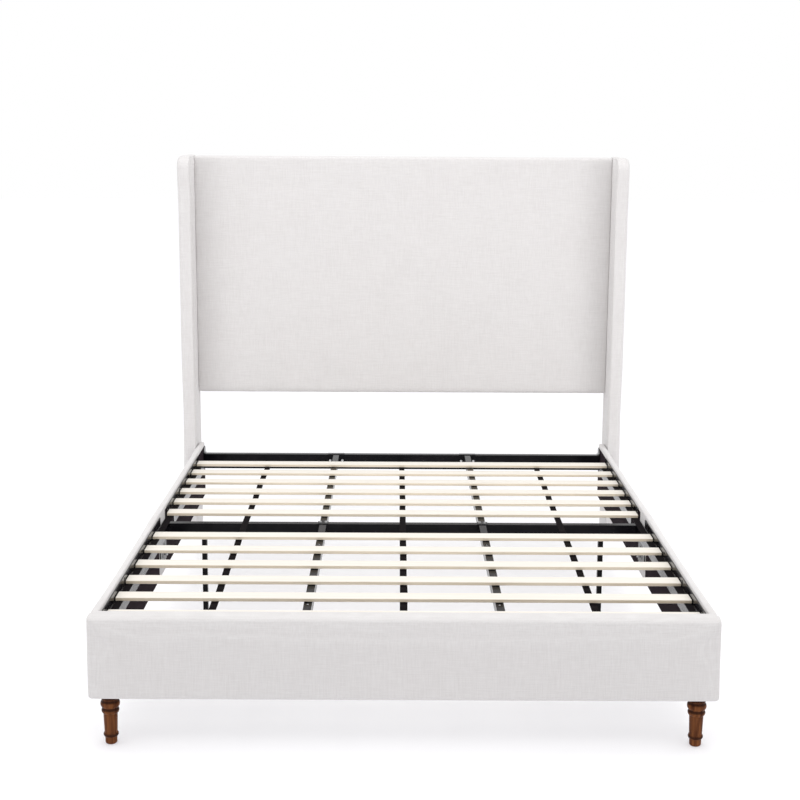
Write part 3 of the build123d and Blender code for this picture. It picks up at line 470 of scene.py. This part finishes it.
def make_side_rail(side_name, side, half):
    """One half of a side rail's cover."""
    node = f"side_rail_cover_{side_name}_{half}"
    low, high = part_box(node)
    swell = 0.001
    outline = rectangle(low.y, high.y, low.z, high.z)
    inner = min(abs(low.x), abs(high.x)) + COVER_LAP
    outer = max(abs(low.x), abs(high.x)) - swell
    edges = sorted((side * inner, side * outer))
    wing_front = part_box("wing_cover_left")[0].y
    side_tolerance = 0.001
    lengthwise = 0.1
    wing_lap = 0.01

    def rounded(a, b):
        outside = min(abs(a.x), abs(b.x)) > outer - side_tolerance
        return outside and abs(a.y - b.y) > lengthwise

    def held(co):
        inside = abs(co.x) < inner + FACE_HOLD
        ends = co.y < low.y + END_HOLD or co.y > high.y - END_HOLD
        return inside or ends or co.y > wing_front - wing_lap

    name = f"side_rail_{side_name}_{half}"
    piece = profile_prism(name, outline, *edges, edge_radius=0.007, rounded=rounded)
    seams = [(X, side * inner, 0.004), (Y, low.y, 0.005), (Y, high.y, 0.005), (Z, low.z, 0.004)]
    soften(piece, node, held, seams, voxel=0.0065, cap=0.003)


def make_headboard():
    """The headboard's pad, which curves back to a seam against each wing."""
    low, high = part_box("headboard_pad")
    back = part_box("headboard_back_cloth")[1].y - COVER_LAP
    swell = 0.003
    seam_hold = 0.006
    front_free = 0.008
    back_hold = 0.014
    same_height = 0.001
    outline = rectangle(low.y + swell, back, low.z, high.z + TOP_WEAR)

    def level(a, b):
        return max(a.y, b.y) < low.y + EDGE_REACH and abs(a.z - b.z) < same_height

    piece = profile_prism("headboard", outline, low.x, high.x, edge_radius=0.012, rounded=level)

    def held(co):
        seam = high.x - abs(co.x) < seam_hold and co.y > low.y + front_free
        return co.y > back - back_hold or seam

    seams = [(X, low.x, 0.009), (X, high.x, 0.009), (Y, back, 0.007)]
    soften(piece, "headboard_pad", held, seams, voxel=0.011, cap=0.006)


def make_wing(side_name, side):
    """A wing, with a round nose at its front top corner and soft edges."""
    node = f"wing_cover_{side_name}"
    low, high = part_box(node)
    inner = min(abs(low.x), abs(high.x))
    outer = max(abs(low.x), abs(high.x))
    edges = sorted((side * inner, side * outer))
    panel_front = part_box("headboard_pad")[0].y
    rail_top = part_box("side_rail_cover_left_head")[1].z
    nose = 0.05
    same_place = 0.001
    panel_lap = 0.012
    rail_lap = 0.02
    floor_hold = 0.01
    top = high.z + TOP_WEAR
    arc = [
        (
            low.y + nose - nose * math.cos(step * math.pi / (2 * NOSE_STEPS)),
            top - nose + nose * math.sin(step * math.pi / (2 * NOSE_STEPS)),
        )
        for step in range(NOSE_STEPS + 1)
    ]
    outline = [(low.y, low.z - COVER_LAP), (high.y, low.z - COVER_LAP), (high.y, top)]
    outline += list(reversed(arc))

    def rounded(a, b):
        same_side = abs(a.x - b.x) < same_place
        lifted = max(a.z, b.z) > low.z + EDGE_REACH
        ahead = min(a.y, b.y) < high.y - EDGE_REACH
        outside = abs(a.x) > inner + EDGE_REACH
        return same_side and lifted and ahead and outside

    def held(co):
        beside = co.y > panel_front - panel_lap or co.z < rail_top + rail_lap
        inside = abs(co.x) < inner + FACE_HOLD and beside
        return inside or co.z < low.z + floor_hold or co.y > high.y - END_HOLD

    name = f"wing_{side_name}"
    piece = profile_prism(name, outline, *edges, edge_radius=0.015, rounded=rounded)
    seams = [(X, side * inner, 0.006), (Y, high.y, 0.005), (Z, low.z - COVER_LAP, 0.005)]
    soften(piece, node, held, seams, voxel=0.008, cap=0.004)


make_footboard()
make_headboard()
for name, sign in SIDES.items():
    make_wing(name, sign)
    for part_name in ("foot", "head"):
        make_side_rail(name, sign, part_name)

# ---------------------------------------------------------------- straps

STRAP_SAG = 0.0035
STRAP_STEP = 0.006
STRAP_HALF_WIDTH = 0.010
STRAP_THICKNESS = 0.0009
STRAP_CLEARANCE = 0.0001
STRAP_SWAY = 0.0015
SWAY_ACROSS = 9
SWAY_ALONG = 6
BAR_MARGIN = 0.08
INNER_STRAP_X = 0.51


def make_straps():
    """Webbing under the slats; all but the outermost straps dip a little between them."""
    low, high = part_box("slat_straps")
    boards = [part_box(n) for n in nodes if n.startswith("slat_") and n != "slat_straps"]
    slats = sorted((one.y + two.y) / 2 for one, two in boards)
    bar_low, bar_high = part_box("middle_crossbar")
    outermost = high.x - STRAP_HALF_WIDTH
    mesh = bmesh.new()
    count = int((high.y - low.y) / STRAP_STEP)
    for x in (-outermost, -INNER_STRAP_X, 0.0, INNER_STRAP_X, outermost):
        over_steel = abs(x) == outermost
        rows = []
        for index in range(count + 1):
            y = low.y + (high.y - low.y) * index / count
            before = [s for s in slats if s <= y]
            after = [s for s in slats if s > y]
            dip = 0.0
            near_bar = bar_low.y - BAR_MARGIN < y < bar_high.y + BAR_MARGIN
            if before and after and not near_bar and not over_steel:
                share = (y - before[-1]) / (after[0] - before[-1])
                dip = STRAP_SAG * math.sin(math.pi * share) ** 2
            z = high.z - STRAP_CLEARANCE - dip
            drift = noise.noise(Vector((x * SWAY_ACROSS, y * SWAY_ALONG, 0)))
            sway = 0.0 if over_steel else STRAP_SWAY * drift
            across = [x + sway + s * STRAP_HALF_WIDTH for s in (-1.0, -0.5, 0.0, 0.5, 1.0)]
            rows.append([mesh.verts.new((place, y, z)) for place in across])
        for one, two in zip(rows, rows[1:]):
            for k in range(len(one) - 1):
                mesh.faces.new((one[k], one[k + 1], two[k + 1], two[k]))
    data = bpy.data.meshes.new("straps")
    mesh.to_mesh(data)
    mesh.free()
    piece = bpy.data.objects.new("straps", data)
    scene.collection.objects.link(piece)
    thick = piece.modifiers.new("thickness", "SOLIDIFY")
    thick.thickness = STRAP_THICKNESS
    thick.offset = -1
    bake(piece)
    piece.data.materials.clear()
    piece.data.materials.append(LOOKS["webbing"])
    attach(piece, "slat_roll")
    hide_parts("slat_straps")


make_straps()

# ---------------------------------------------------------------- floor and light

FLOOR_TONE = 0.66
FLOOR_GLOW = 0.355


def make_floor():
    """A plain pale floor that glows a little, like a light table."""
    mesh = bmesh.new()
    bmesh.ops.create_grid(mesh, x_segments=4, y_segments=4, size=30)
    data = bpy.data.meshes.new("floor")
    mesh.to_mesh(data)
    mesh.free()
    floor = bpy.data.objects.new("floor", data)
    scene.collection.objects.link(floor)
    look = Look("floor")
    look.set(Base_Color=shade(FLOOR_TONE, FLOOR_TONE, FLOOR_TONE), Roughness=0.9)
    look.shader.inputs["Emission Color"].default_value = shade(0.95, 0.94, 1.0)
    look.shader.inputs["Emission Strength"].default_value = FLOOR_GLOW
    floor.data.materials.append(look.material)


def make_softbox(name, place, target, size, power, spread=180):
    """A large square lamp aimed at a point; a small spread keeps its light near the aim."""
    data = bpy.data.lights.new(name, "AREA")
    data.shape = "SQUARE"
    data.size = size
    data.energy = power
    data.spread = math.radians(spread)
    lamp = bpy.data.objects.new(name, data)
    scene.collection.objects.link(lamp)
    lamp.location = place
    lamp.rotation_euler = (Vector(target) - Vector(place)).to_track_quat("-Z", "Y").to_euler()


make_floor()
make_softbox("lamp_top", (0.0, -0.7, 4.2), (0.0, -0.7, 0.0), size=4.0, power=74)
make_softbox("lamp_left", (-2.2, -1.05, 1.05), (0.0, 1.1, 0.9), size=1.4, power=2.6, spread=80)
make_softbox("lamp_right", (2.2, -1.05, 1.05), (0.0, 1.1, 0.9), size=1.4, power=3.2, spread=80)
make_softbox("lamp_front", (0.0, -2.3, 2.6), (0.0, 0.2, 0.4), size=1.2, power=6)

world = bpy.data.worlds.new("studio")
world.use_nodes = True
world.node_tree.nodes["Background"].inputs["Color"].default_value = shade(1.0, 1.0, 1.0)
world.node_tree.nodes["Background"].inputs["Strength"].default_value = 1.0
scene.world = world
scene.view_settings.view_transform = "Standard"
